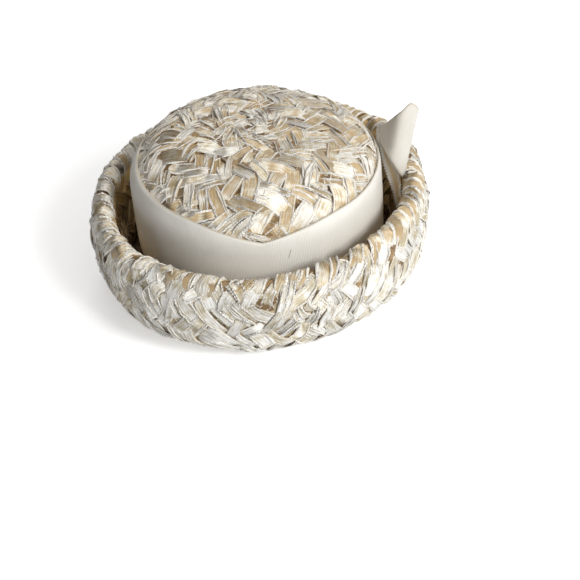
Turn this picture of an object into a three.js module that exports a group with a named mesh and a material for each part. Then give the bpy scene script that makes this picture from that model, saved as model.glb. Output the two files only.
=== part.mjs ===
// A small woven straw hat: a domed crown, a rolled-up double brim like a bumper, a wide ribbon band
// and a ribbon bow of one folded loop and one tail, tied with a knot on the wearer's left.
// Millimetres, +Z up. The origin is the centre of the flat underside that the hat stands on.
// -Y is the front, and +X is the side with the bow.
import * as THREE from 'three';

// Plan of the head opening. The hat is an oval: each ring is deeper than it is wide.
const HEAD_HALF_WIDTH = 85; // inside, at the head opening
const OVAL_EXTRA = 6.5; // half depth less half width, past OVAL_FROM
const OVAL_FROM = 60; // nearer the middle than this half width the extra shrinks to nothing
const SIDES = 64; // flat facets round the hat

// Woven straw.
const STRAW = 3; // wall of plaited straw
const SEAM = 0.3; // gap between pieces that are sewn together

// Crown.
const CROWN_BASE_Z = STRAW + SEAM;
const CROWN_BASE_HALF_WIDTH = HEAD_HALF_WIDTH + STRAW;
const SHOULDER_Z = 74; // the side wall ends here and the dome begins
const SHOULDER_HALF_WIDTH = 86;
const CROWN_TOP_Z = 105.5;
const DOME_POWER = 2.3; // 2 is a plain ellipse, and more gives a squarer shoulder
const DOME_STEPS = 11;
const SIDE_STEPS = 4;

// Brim: the middle of its wall, from the head opening out, up, over the rolled edge and down inside.
const BRIM_WALL = [
  { halfWidth: HEAD_HALF_WIDTH, z: STRAW / 2 },
  { halfWidth: 93, z: STRAW / 2 },
  { halfWidth: 95.5, z: STRAW / 2 },
  { halfWidth: 103.5, z: 4.4 },
  { halfWidth: 110.6, z: 11 },
  { halfWidth: 115.8, z: 21 },
  { halfWidth: 118.1, z: 33 },
  { halfWidth: 118.4, z: 45 },
  { halfWidth: 116.9, z: 55 },
  { halfWidth: 114.2, z: 61.2 },
  { halfWidth: 110.9, z: 63.4 },
  { halfWidth: 107.8, z: 61.6 },
  { halfWidth: 106.3, z: 56.5 },
  { halfWidth: 105.4, z: 46 },
  { halfWidth: 103.6, z: 33 },
  { halfWidth: 101.2, z: 20 },
  { halfWidth: 98.8, z: 9.5 },
];
const EDGE_FROM_Z = 15; // the brim is level below this height, and its shifts grow from here up
const EDGE_TILT = 2.6; // the rolled edge is higher by this much on the bow's side, and lower opposite
const EDGE_WAVE = { height: 0.9, count: 5 }; // soft rise and fall of the rolled edge
const BULGE = { out: 3.5, angle: -0.73, spread: 0.35, z: 22, reach: 26 }; // fuller at its front right

// Ribbon.
const RIBBON = 1.2; // thickness
const RIBBON_WIDTH = 58;
const BAND_TOP_Z = 85;
const BAND_CLEARANCE = 0.5;
const BAND_ROWS = [0, 0.33, 0.61, 0.71, 0.79, 0.86, 0.93, 1]; // shares of its width, closest at the dome
const BAND_TILT = 3.3; // higher by this much at the side away from the bow, and lower at the bow
const BAND_DIP = { depth: 8.8, halfAngle: 0.65, power: 1.6 }; // soft V at the front

// Knot: a short ribbon wrap that lies against the band.
const KNOT = { x: 90.6, y: 11, z: 83, width: 5.4, depth: 10, height: 18, round: 0.75 };
const KNOT_FACE_Y = KNOT.y - KNOT.depth / 2 - 0.7; // the loop and the tail begin here

// Loop: the two edges of its ribbon, from the knot out to the fold and back to the knot.
const LOOP_EDGES = [
  { top: [89.9, KNOT_FACE_Y, 93.5], bottom: [89.9, KNOT_FACE_Y, 81.5] },
  { top: [100.6, -5, 110.2], bottom: [94.4, -12, 76.6] },
  { top: [109.1, -2, 114.8], bottom: [103.2, -13, 61.7] },
  { top: [115.3, 4, 105.4], bottom: [104.4, -7, 62.8] },
  { top: [105.5, 9, 103], bottom: [99.2, 0, 71] },
  { top: [92.4, KNOT_FACE_Y, 92], bottom: [92.4, KNOT_FACE_Y, 82.5] },
];
const LOOP_STEPS = 20;
const LOOP_ROWS = 5;

// Tail: it hangs from the knot into the gap beside the band, folded lengthwise like a trough that is
// open to the front. Each row has its two edges and the crease between them.
const TAIL_ROWS = [
  { left: [89.8, KNOT_FACE_Y, 78], right: [93, KNOT_FACE_Y, 77], crease: [91.4, KNOT_FACE_Y, 71] },
  { left: [91, 0, 69], right: [95.6, 1, 67], crease: [93, 9, 60.5] },
  { left: [94.6, -5, 58.5], right: [100.6, -2, 59.5], crease: [95.5, 15, 53] },
  { left: [97.2, -8.5, 48.5], right: [102, -6, 50.5], crease: [97.5, 14, 43] },
  { left: [98.7, -12, 37], right: [101.4, -11.5, 38], crease: [98.4, 8, 32] },
];
const TAIL_CREASE_RADIUS = 1.6;
const TAIL_STEPS = 12;
const TAIL_SPANS = 12; // a third of them on each side and a third round the crease

const STRAW_FINISH = { color: 0xd6cdb8, roughness: 0.55, metalness: 0 };
const RIBBON_FINISH = { color: 0xddd8cc, roughness: 0.8, metalness: 0 };

// Half depth of the oval ring that has this half width.
function halfDepth(halfWidth) {
  return halfWidth + OVAL_EXTRA * Math.min(1, halfWidth / OVAL_FROM);
}

// Half width of the crown's outside at height z.
function crownHalfWidth(z) {
  if (z <= SHOULDER_Z) {
    const up = (z - CROWN_BASE_Z) / (SHOULDER_Z - CROWN_BASE_Z);
    return THREE.MathUtils.lerp(CROWN_BASE_HALF_WIDTH, SHOULDER_HALF_WIDTH, up);
  }
  const up = Math.min(1, (z - SHOULDER_Z) / (CROWN_TOP_Z - SHOULDER_Z));
  return SHOULDER_HALF_WIDTH * Math.pow(1 - Math.pow(up, DOME_POWER), 1 / DOME_POWER);
}

// Point on the oval ring of this half width, at an angle from the front towards the bow's side.
function ringPoint(halfWidth, angle, z) {
  return new THREE.Vector3(halfWidth * Math.sin(angle), -halfDepth(halfWidth) * Math.cos(angle), z);
}

// Turns a closed outline of {halfWidth, z} rows about the hat's axis. place(halfWidth, angle, z) gives
// each point, and leaves the oval plan alone unless it is stated.
function turnOutline(outline, place = ringPoint) {
  const points = outline.map((row) => new THREE.Vector2(row.halfWidth, row.z));
  const geometry = new THREE.LatheGeometry(points, SIDES);
  const position = geometry.getAttribute('position');
  for (let i = 0; i < position.count; i++) {
    const side = Math.floor(i / points.length) % SIDES;
    const row = outline[i % points.length];
    const point = place(row.halfWidth, (2 * Math.PI * side) / SIDES, row.z);
    position.setXYZ(i, point.x, point.y, point.z);
  }
  return geometry;
}

// Moves each row of a line sideways by a distance, to the right of the way that it runs.
function offsetLine(line, distance) {
  return line.map((row, i) => {
    const before = line[Math.max(0, i - 1)];
    const after = line[Math.min(line.length - 1, i + 1)];
    const run = new THREE.Vector2(after.halfWidth - before.halfWidth, after.z - before.z).normalize();
    return { halfWidth: row.halfWidth + run.y * distance, z: row.z - run.x * distance };
  });
}

// Closed outline of a wall of even thickness about its middle line.
function wallOutline(line, thickness) {
  const outside = offsetLine(line, thickness / 2);
  const inside = offsetLine(line, -thickness / 2).reverse();
  return [...outside, ...inside, outside[0]];
}

// A thin sheet along place(along, across), each from 0 to 1, thickened evenly to both sides.
function sheet(place, thickness, steps, spans) {
  const geometry = new THREE.BoxGeometry(1, 1, 1, steps, 1, spans);
  const position = geometry.getAttribute('position');
  const clamp = (share) => Math.min(1, Math.max(0, share));
  const near = 1e-3;
  for (let i = 0; i < position.count; i++) {
    const along = position.getX(i) + 0.5;
    const across = position.getZ(i) + 0.5;
    const point = place(along, across);
    const run = place(clamp(along + near), across).sub(place(clamp(along - near), across));
    const spread = place(along, clamp(across + near)).sub(place(along, clamp(across - near)));
    const normal = spread.cross(run).normalize();
    point.addScaledVector(normal, position.getY(i) * thickness);
    position.setXYZ(i, point.x, point.y, point.z);
  }
  return geometry;
}

// Smooth curve through one named column of a table.
function rail(rows, column) {
  const curve = new THREE.CatmullRomCurve3(rows.map((row) => new THREE.Vector3(...row[column])));
  return (share) => curve.getPoint(share);
}

function piece(name, geometry, finish) {
  geometry.computeVertexNormals();
  const mesh = new THREE.Mesh(geometry, new THREE.MeshStandardMaterial(finish));
  mesh.name = name;
  return mesh;
}

// One wall from the head opening up the sides and over the dome, hollow and open below.
function makeCrown() {
  const outside = [];
  for (let i = 0; i < SIDE_STEPS; i++) {
    const z = THREE.MathUtils.lerp(CROWN_BASE_Z, SHOULDER_Z, i / SIDE_STEPS);
    outside.push({ halfWidth: crownHalfWidth(z), z });
  }
  for (let i = 0; i <= DOME_STEPS; i++) {
    const turn = (i / DOME_STEPS) * (Math.PI / 2);
    const z = SHOULDER_Z + (CROWN_TOP_Z - SHOULDER_Z) * Math.pow(Math.sin(turn), 2 / DOME_POWER);
    outside.push({ halfWidth: i === DOME_STEPS ? 0 : crownHalfWidth(z), z });
  }
  const inside = offsetLine(outside, -STRAW);
  inside[0].z = CROWN_BASE_Z;
  inside[inside.length - 1] = { halfWidth: 0, z: CROWN_TOP_Z - STRAW };
  return piece('crown', turnOutline([...inside.reverse(), ...outside]), STRAW_FINISH);
}

// Two walls joined at the rolled edge, with the space between them open at the foot of the inner one.
function makeBrim() {
  const rolledZ = Math.max(...BRIM_WALL.map((row) => row.z));
  const place = (halfWidth, angle, z) => {
    const share = THREE.MathUtils.smoothstep(z, EDGE_FROM_Z, rolledZ);
    const wave = EDGE_WAVE.height * Math.cos(EDGE_WAVE.count * angle);
    const shift = share * (EDGE_TILT * Math.sin(angle) - wave);
    const turn = THREE.MathUtils.euclideanModulo(angle - BULGE.angle + Math.PI, 2 * Math.PI) - Math.PI;
    const swell = Math.exp(-((turn / BULGE.spread) ** 2) / 2 - ((z - BULGE.z) / BULGE.reach) ** 2);
    const flat = THREE.MathUtils.smoothstep(z, STRAW, EDGE_FROM_Z);
    return ringPoint(halfWidth + BULGE.out * swell * flat, angle, z + shift);
  };
  return piece('brim', turnOutline(wallOutline(BRIM_WALL, STRAW), place), STRAW_FINISH);
}

// How far the band stands above or below its level at an angle.
function bandShift(angle) {
  const fromFront = Math.min(angle, 2 * Math.PI - angle) / BAND_DIP.halfAngle;
  return -BAND_TILT * Math.sin(angle) - BAND_DIP.depth * Math.max(0, 1 - fromFront) ** BAND_DIP.power;
}

// A ribbon wrapped close round the crown. Its rows follow the crown's slope.
function makeBand() {
  const line = (clearance) =>
    BAND_ROWS.map((share) => ({ halfWidth: clearance, z: BAND_TOP_Z - RIBBON_WIDTH * (1 - share) }));
  const outside = line(BAND_CLEARANCE + RIBBON);
  const outline = [...outside, ...line(BAND_CLEARANCE).reverse(), outside[0]];
  const place = (clearance, angle, z) => {
    const height = z + bandShift(angle);
    return ringPoint(crownHalfWidth(height) + clearance, angle, height);
  };
  return piece('band', turnOutline(outline, place), RIBBON_FINISH);
}

// A short upright wrap with rounded sides.
function makeKnot() {
  const corner = (KNOT.width / 2) * KNOT.round;
  const x = KNOT.width / 2;
  const y = KNOT.depth / 2;
  const shape = new THREE.Shape();
  shape.absarc(x - corner, y - corner, corner, 0, Math.PI / 2);
  shape.absarc(-x + corner, y - corner, corner, Math.PI / 2, Math.PI);
  shape.absarc(-x + corner, -y + corner, corner, Math.PI, 1.5 * Math.PI);
  shape.absarc(x - corner, -y + corner, corner, 1.5 * Math.PI, 2 * Math.PI);
  const geometry = new THREE.ExtrudeGeometry(shape, {
    depth: KNOT.height,
    bevelEnabled: false,
    curveSegments: 4,
  });
  const mesh = piece('bow_knot', geometry, RIBBON_FINISH);
  mesh.position.set(KNOT.x, KNOT.y, KNOT.z - KNOT.height / 2);
  return mesh;
}

// Ribbon that leaves the knot, spreads to its full width, turns at a slanting fold and comes back.
function makeLoop() {
  const top = rail(LOOP_EDGES, 'top');
  const bottom = rail(LOOP_EDGES, 'bottom');
  const place = (along, across) => top(along).lerp(bottom(along), across);
  return piece('bow_loop', sheet(place, RIBBON, LOOP_STEPS, LOOP_ROWS), RIBBON_FINISH);
}

// Ribbon that hangs beside the crown: one side of the trough, round the crease, and the other side.
function makeTail() {
  const left = rail(TAIL_ROWS, 'left');
  const right = rail(TAIL_ROWS, 'right');
  const crease = rail(TAIL_ROWS, 'crease');
  const place = (along, across) => {
    const edges = [left(along), right(along)];
    const fold = crease(along);
    const sideways = edges[1].clone().sub(edges[0]).normalize();
    const outwards = edges[0].clone().add(edges[1]).multiplyScalar(0.5).sub(fold).normalize();
    const turn = Math.PI * THREE.MathUtils.clamp(3 * across - 1, 0, 1);
    const bend = fold
      .addScaledVector(outwards, TAIL_CREASE_RADIUS * (1 - Math.sin(turn)))
      .addScaledVector(sideways, -TAIL_CREASE_RADIUS * Math.cos(turn));
    if (across < 1 / 3) return edges[0].lerp(bend, 3 * across);
    return across > 2 / 3 ? bend.lerp(edges[1], 3 * across - 2) : bend;
  };
  return piece('bow_tail', sheet(place, RIBBON, TAIL_STEPS, TAIL_SPANS), RIBBON_FINISH);
}

const hat = new THREE.Group();
hat.name = 'hat';
hat.add(makeCrown(), makeBrim(), makeBand());

const bow = new THREE.Group();
bow.name = 'bow';
bow.add(makeKnot(), makeLoop(), makeTail());
hat.add(bow);

export default hat;
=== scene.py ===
"""Small woven straw hat with a domed crown, a rolled double brim, a grosgrain band and a side bow."""

import logging
import math
from dataclasses import dataclass, field, fields
from enum import Enum
from typing import Callable

import bmesh
import bpy
import numpy as np
from mathutils import Matrix, Vector


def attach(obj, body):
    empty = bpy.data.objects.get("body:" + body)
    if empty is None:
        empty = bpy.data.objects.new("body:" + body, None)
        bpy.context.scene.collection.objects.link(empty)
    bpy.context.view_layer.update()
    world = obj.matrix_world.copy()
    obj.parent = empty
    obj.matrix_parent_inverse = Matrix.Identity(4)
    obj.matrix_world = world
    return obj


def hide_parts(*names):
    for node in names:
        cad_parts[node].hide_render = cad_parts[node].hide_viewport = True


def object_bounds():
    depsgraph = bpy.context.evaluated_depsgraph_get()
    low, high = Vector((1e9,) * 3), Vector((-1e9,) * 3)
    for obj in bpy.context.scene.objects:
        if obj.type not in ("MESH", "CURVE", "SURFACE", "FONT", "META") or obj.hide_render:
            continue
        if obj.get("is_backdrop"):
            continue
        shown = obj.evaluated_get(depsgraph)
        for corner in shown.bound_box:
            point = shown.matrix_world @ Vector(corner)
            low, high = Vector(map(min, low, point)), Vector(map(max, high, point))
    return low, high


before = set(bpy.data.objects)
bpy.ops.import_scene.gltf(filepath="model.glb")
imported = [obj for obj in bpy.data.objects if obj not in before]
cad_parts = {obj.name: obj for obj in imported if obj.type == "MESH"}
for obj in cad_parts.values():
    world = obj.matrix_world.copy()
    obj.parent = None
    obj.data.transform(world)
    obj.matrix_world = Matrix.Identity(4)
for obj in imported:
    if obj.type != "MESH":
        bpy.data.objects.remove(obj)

log = logging.getLogger("hat")

MM = 0.001
BODY = "root"

# Plan of the head opening: each ring is deeper than it is wide.
OVAL_EXTRA = 6.5
OVAL_FROM = 60.0

Array = np.ndarray
Socket = bpy.types.NodeSocket
Material = bpy.types.Material
Object = bpy.types.Object
Rgba = tuple[float, float, float, float]


def smoothstep(value: Array, low: float, high: float) -> Array:
    """Eases from 0 at low to 1 at high.

    Args:
        value: The numbers to ease.
        low: Where the result leaves 0.
        high: Where the result reaches 1.

    Returns:
        The eased shares.
    """
    share = np.clip((value - low) / (high - low), 0.0, 1.0)
    return share * share * (3.0 - 2.0 * share)


def ring_point(half_width: Array, angle: Array, z: Array) -> Array:
    """Gives points of the oval ring that has this half width.

    Args:
        half_width: Half width of the ring, in mm.
        angle: Turn from the front towards the bow's side, in radians.
        z: Height, in mm.

    Returns:
        The points, in mm, with x, y and z on the last axis.
    """
    half_depth = half_width + OVAL_EXTRA * np.minimum(1.0, half_width / OVAL_FROM)
    x = half_width * np.sin(angle)
    y = -half_depth * np.cos(angle)
    return np.stack(np.broadcast_arrays(x, y, z), axis=-1)


def rail(points: list[list[float]]) -> Callable[[Array], Array]:
    """Makes a smooth centripetal curve through some points.

    Args:
        points: The points, of two or three coordinates each.

    Returns:
        A function from shares between 0 and 1 to points.
    """
    known = np.array(points, float)
    ends = np.vstack([2 * known[0] - known[1], known, 2 * known[-1] - known[-2]])

    def curve(share: Array) -> Array:
        """Gives the curve's points at some shares of its way.

        Args:
            share: Shares of the way, between 0 and 1.

        Returns:
            The points there.
        """
        way = np.clip(np.asarray(share, float), 0.0, 1.0) * (len(known) - 1)
        first = np.minimum(way.astype(int), len(known) - 2)
        t = (way - first)[..., None]
        p0, p1, p2, p3 = (ends[first + i] for i in range(4))
        gaps = (np.linalg.norm(span, axis=-1, keepdims=True) for span in (p1 - p0, p2 - p1, p3 - p2))
        d0, d1, d2 = (np.maximum(np.sqrt(gap), 1e-4) for gap in gaps)
        start = ((p1 - p0) / d0 - (p2 - p0) / (d0 + d1) + (p2 - p1) / d1) * d1
        stop = ((p2 - p1) / d1 - (p3 - p1) / (d1 + d2) + (p3 - p2) / d2) * d1
        square = -3 * p1 + 3 * p2 - 2 * start - stop
        cube = 2 * p1 - 2 * p2 + start + stop
        return p1 + start * t + square * t**2 + cube * t**3

    return curve


class Outline:
    """A line in the plane of half width and height, read by the length along it."""

    STEPS = 600

    def __init__(self, curve: Callable[[Array], Array], outside: float, offset: float) -> None:
        """Measures the line.

        Args:
            curve: Function from a share between 0 and 1 to half width and height, in mm.
            outside: 1 where the shown side is to the right of the way it runs, and -1 to the left.
            offset: Distance of the shown side from the curve, in mm.
        """
        points = curve(np.linspace(0.0, 1.0, self.STEPS))
        run = np.gradient(points, axis=0)
        run /= np.linalg.norm(run, axis=1, keepdims=True)
        self.normal = outside * np.stack([run[:, 1], -run[:, 0]], axis=1)
        self.points = points + offset * self.normal
        lengths = np.linalg.norm(np.diff(self.points, axis=0), axis=1)
        self.run = np.concatenate([[0.0], np.cumsum(lengths)])
        self.length = float(self.run[-1])

    def at(self, run: Array) -> tuple[Array, Array, Array, Array]:
        """Gives half width, height and the two parts of the outward normal at some lengths.

        Args:
            run: Lengths along the line, in mm.

        Returns:
            Half width and height, in mm, and how far the normal points outwards and up.
        """
        columns = (self.points[:, 0], self.points[:, 1], self.normal[:, 0], self.normal[:, 1])
        half_width, z, out_width, out_z = (np.interp(run, self.run, column) for column in columns)
        return half_width, z, out_width, out_z

    def radius(self, run: Array) -> Array:
        """Gives the mean radius of the ring at some lengths, in mm."""
        return self.at(run)[0] + OVAL_EXTRA / 2


def unevenness(angle: Array, run: Array) -> Array:
    """Gives the slow rise and fall of hand-blocked straw, in mm, at some angles and lengths.

    Args:
        angle: Angles round the hat, in radians.
        run: Lengths down the surface, in mm.

    Returns:
        The rise at each place, in mm.
    """
    slow = np.sin(5 * angle + run / 17.0) * np.sin(run / 13.0 - 2 * angle + 0.7)
    quick = np.sin(13 * angle - run / 11.0 + 1.9) * np.sin(run / 6.5 + 3 * angle)
    return 0.55 * slow + 0.4 * quick


@dataclass
class CrownSurface:
    """The crown's outside or inside, from the middle of the dome down its side wall."""

    base_z: float = 3.3
    base_half_width: float = 88.0
    shoulder_z: float = 74.0
    shoulder_half_width: float = 86.0
    top_z: float = 105.5
    dome_power: float = 2.3
    wall: float = 3.0
    inside: bool = False
    pressed_below: Callable[[Array], Array] | None = None
    pressed_lift: float = 0.45

    def __post_init__(self) -> None:
        """Measures the outline of the shown side."""
        self.outline = Outline(self._curve, 1.0 if self.inside else -1.0, self.wall if self.inside else 0.0)

    def half_width(self, z: Array) -> Array:
        """Gives the half width of the crown's outside at some heights, in mm.

        Args:
            z: Heights, in mm.

        Returns:
            The half width at each height.
        """
        up = (z - self.base_z) / (self.shoulder_z - self.base_z)
        side = self.base_half_width + (self.shoulder_half_width - self.base_half_width) * up
        over = np.clip((z - self.shoulder_z) / (self.top_z - self.shoulder_z), 0.0, 1.0)
        dome = self.shoulder_half_width * (1 - over**self.dome_power) ** (1 / self.dome_power)
        return np.where(z <= self.shoulder_z, side, dome)

    def _curve(self, share: Array) -> Array:
        """Follows the outside from the top to the base.

        Args:
            share: Shares of the way, between 0 and 1.

        Returns:
            Half width and height at each share, in mm.
        """
        turn = np.clip(share / 0.6, 0.0, 1.0) * (math.pi / 2)
        rise = np.cos(turn) ** (2 / self.dome_power)
        reach = np.sin(turn) ** (2 / self.dome_power)
        down = np.clip((share - 0.6) / 0.4, 0.0, 1.0)
        half_width = self.shoulder_half_width * reach
        half_width = half_width + (self.base_half_width - self.shoulder_half_width) * down
        z = self.shoulder_z + (self.top_z - self.shoulder_z) * rise - (self.shoulder_z - self.base_z) * down
        return np.stack([half_width, z], axis=-1)

    def place(self, angle: Array, run: Array, across: Array, along: Array, lift: Array) -> Array:
        """Lays points on the surface.

        Args:
            angle: Angle of each strip's middle.
            run: Length down from the top to each strip's middle, in mm.
            across: Distance of each point round the crown from that middle, in mm.
            along: Distance of each point down the crown from that middle, in mm.
            lift: Distance of each point from the surface, in mm.

        Returns:
            The points, in mm.
        """
        stretch = np.maximum(run, 1.0) / np.maximum(self.outline.radius(run) - OVAL_EXTRA / 2, 1.0)
        wide = across * np.maximum(stretch, 1.0)
        x = np.sin(angle) * (run + along) + np.cos(angle) * wide
        y = -np.cos(angle) * (run + along) + np.sin(angle) * wide
        turn = np.arctan2(x, -y)
        half_width, z, out_width, out_z = self.outline.at(np.hypot(x, y))
        lift = lift + unevenness(turn, np.hypot(x, y))
        if self.pressed_below is not None:
            free = smoothstep(z - self.pressed_below(turn), -0.5, 4.0)
            lift = free * lift + (1 - free) * np.minimum(lift, self.pressed_lift)
        return ring_point(half_width + lift * out_width, turn, z + lift * out_z)


BRIM_WALL = [
    [85, 1.5], [93, 1.5], [95.5, 1.5], [103.5, 4.4], [110.6, 11], [115.8, 21], [118.1, 33], [118.4, 45],
    [116.9, 55], [114.2, 61.2], [110.9, 63.4], [107.8, 61.6], [106.3, 56.5], [105.4, 46], [103.6, 33],
    [101.2, 20], [98.8, 9.5],
]


@dataclass
class BrimSurface:
    """The shown side of the brim, from the head opening out, up, over the rolled edge and down inside."""

    wall: float = 3.0
    edge_from_z: float = 15.0
    edge_tilt: float = 2.6
    wave_height: float = 0.9
    wave_count: int = 5
    bulge_out: float = 3.5
    bulge_angle: float = -0.73
    bulge_spread: float = 0.35
    bulge_z: float = 22.0
    bulge_reach: float = 26.0

    def __post_init__(self) -> None:
        """Measures the outline and finds the rolled edge on it."""
        self.outline = Outline(rail(BRIM_WALL), 1.0, self.wall / 2)
        self.rolled_z = max(row[1] for row in BRIM_WALL)
        self.edge_run = float(self.outline.run[np.argmax(self.outline.points[:, 1])])

    def place(self, angle: Array, run: Array, across: Array, along: Array, lift: Array) -> Array:
        """Lays points on the surface.

        Args:
            angle: Angle of each strip's middle.
            run: Length along the outline to each strip's middle, in mm.
            across: Distance of each point round the brim from that middle, in mm.
            along: Distance of each point along the outline from that middle, in mm.
            lift: Distance of each point from the surface, in mm.

        Returns:
            The points, in mm.
        """
        turn = angle + across / self.outline.radius(run)
        half_width, z, out_width, out_z = self.outline.at(run + along)
        lift = lift + unevenness(turn, run + along) * smoothstep(z, 3.0, 12.0)
        half_width, z = half_width + lift * out_width, z + lift * out_z
        share = smoothstep(z, self.edge_from_z, self.rolled_z)
        shift = share * (self.edge_tilt * np.sin(turn) - self.wave_height * np.cos(self.wave_count * turn))
        away = np.mod(turn - self.bulge_angle + math.pi, 2 * math.pi) - math.pi
        aside, above = away / self.bulge_spread, (z - self.bulge_z) / self.bulge_reach
        swell = np.exp(-(aside**2) / 2 - above**2)
        flat = smoothstep(z, self.wall, self.edge_from_z)
        return ring_point(half_width + self.bulge_out * swell * flat, turn, z + shift)


Surface = CrownSurface | BrimSurface


@dataclass
class Strips:
    """Many strips of straw that lie on one surface, a row of numbers for each."""

    angle: Array
    run: Array
    heading: Array
    length: Array
    width: Array
    lift: Array
    tone: Array
    bow: Array
    lean: Array

    @property
    def count(self) -> int:
        """How many strips there are."""
        return len(self.angle)

    def picked(self, keep: Array) -> "Strips":
        """Gives a copy that has only some of the strips, by their numbers or by a mask."""
        return Strips(*(getattr(self, item.name)[keep] for item in fields(self)))

    @staticmethod
    def joined(parts: list["Strips"]) -> "Strips":
        """Puts several sets of strips together."""
        names = [item.name for item in fields(Strips)]
        return Strips(*(np.concatenate([getattr(part, name) for part in parts]) for name in names))


@dataclass(frozen=True)
class Section:
    """Cross-section of a strip: places across it from -1 to 1, and heights in mm."""

    across: tuple[float, ...]
    height: tuple[float, ...]
    # How much each point is a raised edge: 1 takes the pale cord colour, about 0.1 to 0.3 takes painted
    # shade on the strip's side wall, and below 0 takes painted shade in the creases.
    edge: tuple[float, ...]


CORD_SIDES = 5
CORD_TURNS = tuple(2 * math.pi * i / CORD_SIDES for i in range(CORD_SIDES))


def cord_edge(turn: float) -> float:
    """Says how much of an edge a cord's side is: the pale cord colour above, and painted shade below.

    Args:
        turn: Where the side lies round the cord, in radians.

    Returns:
        1 for the pale cord colour, and less than 0 for painted shade under the cord.
    """
    up = math.sin(turn)
    if up > 0.1:
        return 1.0
    return 0.6 if up > -0.1 else -0.8


class Form(Enum):
    """The cross-sections that straw takes."""

    FLAT = Section(
        across=(-1.02, -0.98, -0.87, -0.7, 0.0, 0.7, 0.87, 0.98, 1.02),
        height=(-0.42, 0.3, 0.58, 0.2, 0.3, 0.2, 0.58, 0.3, -0.42),
        edge=(-1.0, 0.3, 1.0, 0.1, 0.0, 0.1, 1.0, 0.3, -1.0),
    )
    CORD = Section(
        across=tuple(math.cos(turn) for turn in CORD_TURNS),
        height=tuple(math.sin(turn) for turn in CORD_TURNS),
        edge=tuple(cord_edge(turn) for turn in CORD_TURNS),
    )


def new_mesh_object(name: str, mesh: bpy.types.Mesh) -> Object:
    """Links a mesh to the scene as an object of the same name.

    Args:
        name: Name of the object and of its mesh.
        mesh: The mesh.

    Returns:
        The new object.
    """
    mesh.name = name
    obj = bpy.data.objects.new(name, mesh)
    bpy.context.scene.collection.objects.link(obj)
    return obj


def mesh_of(shape: bmesh.types.BMesh, name: str) -> bpy.types.Mesh:
    """Turns an edited shape into a new mesh and frees it.

    Args:
        shape: The edited shape, which is freed.
        name: Name of the mesh.

    Returns:
        The new mesh.
    """
    mesh = bpy.data.meshes.new(name)
    shape.to_mesh(mesh)
    shape.free()
    return mesh


def bar_template(sides: int, rows: int) -> tuple[bpy.types.Mesh, Array, Array]:
    """Makes a closed bar by drawing out a round face.

    Args:
        sides: Points round the bar.
        rows: Rings of points along it.

    Returns:
        The mesh, and the side and the row of each of its points.
    """
    shape = bmesh.new()
    bmesh.ops.create_circle(shape, cap_ends=True, segments=sides, radius=1.0)
    shape.faces.ensure_lookup_table()
    face = shape.faces[0]
    for _ in range(rows - 1):
        drawn = bmesh.ops.extrude_face_region(shape, geom=[face])["geom"]
        points = [item for item in drawn if isinstance(item, bmesh.types.BMVert)]
        bmesh.ops.translate(shape, verts=points, vec=(0.0, 0.0, 1.0))
        face = next(item for item in drawn if isinstance(item, bmesh.types.BMFace))
    places = np.array([point.co[:] for point in shape.verts])
    mesh = mesh_of(shape, "bar")
    turn = np.arctan2(places[:, 1], places[:, 0])
    side = np.round((turn - turn[0]) / (2 * math.pi) * sides).astype(int) % sides
    return mesh, side, np.round(places[:, 2]).astype(int)


def copied(mesh: bpy.types.Mesh, count: int) -> bpy.types.Mesh:
    """Repeats a mesh with an Array modifier and gives the joined result.

    Args:
        mesh: The mesh to repeat, which is removed.
        count: How many copies there are.

    Returns:
        One mesh that holds all the copies.
    """
    source = new_mesh_object("copies", mesh)
    array = source.modifiers.new("copies", "ARRAY")
    array.count = count
    array.use_relative_offset = False
    whole = bpy.data.meshes.new_from_object(source.evaluated_get(bpy.context.evaluated_depsgraph_get()))
    bpy.data.objects.remove(source)
    bpy.data.meshes.remove(mesh)
    return whole


def set_points(mesh: bpy.types.Mesh, name: str, values: Array) -> None:
    """Stores a number for each point of a mesh."""
    layer = mesh.attributes.new(name, "FLOAT", "POINT")
    layer.data.foreach_set("value", np.ascontiguousarray(values, np.float32).ravel())


def set_uv(mesh: bpy.types.Mesh, u: Array, v: Array) -> None:
    """Stores a UV map from a pair of numbers for each point of a mesh.

    Args:
        mesh: The mesh.
        u: First number of each point.
        v: Second number of each point.
    """
    corners = np.empty(len(mesh.loops), np.int32)
    mesh.loops.foreach_get("vertex_index", corners)
    layer = mesh.uv_layers.new(name="strip")
    pairs = np.stack([np.ravel(u)[corners], np.ravel(v)[corners]], axis=1)
    layer.data.foreach_set("uv", pairs.astype(np.float32).ravel())


def closed_outwards(mesh: bpy.types.Mesh) -> None:
    """Turns every face of some closed shells outwards and shades them smooth.

    Args:
        mesh: The closed shells.
    """
    shape = bmesh.new()
    shape.from_mesh(mesh)
    bmesh.ops.recalc_face_normals(shape, faces=shape.faces)
    for face in shape.faces:
        face.smooth = True
    shape.to_mesh(mesh)
    shape.free()


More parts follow.
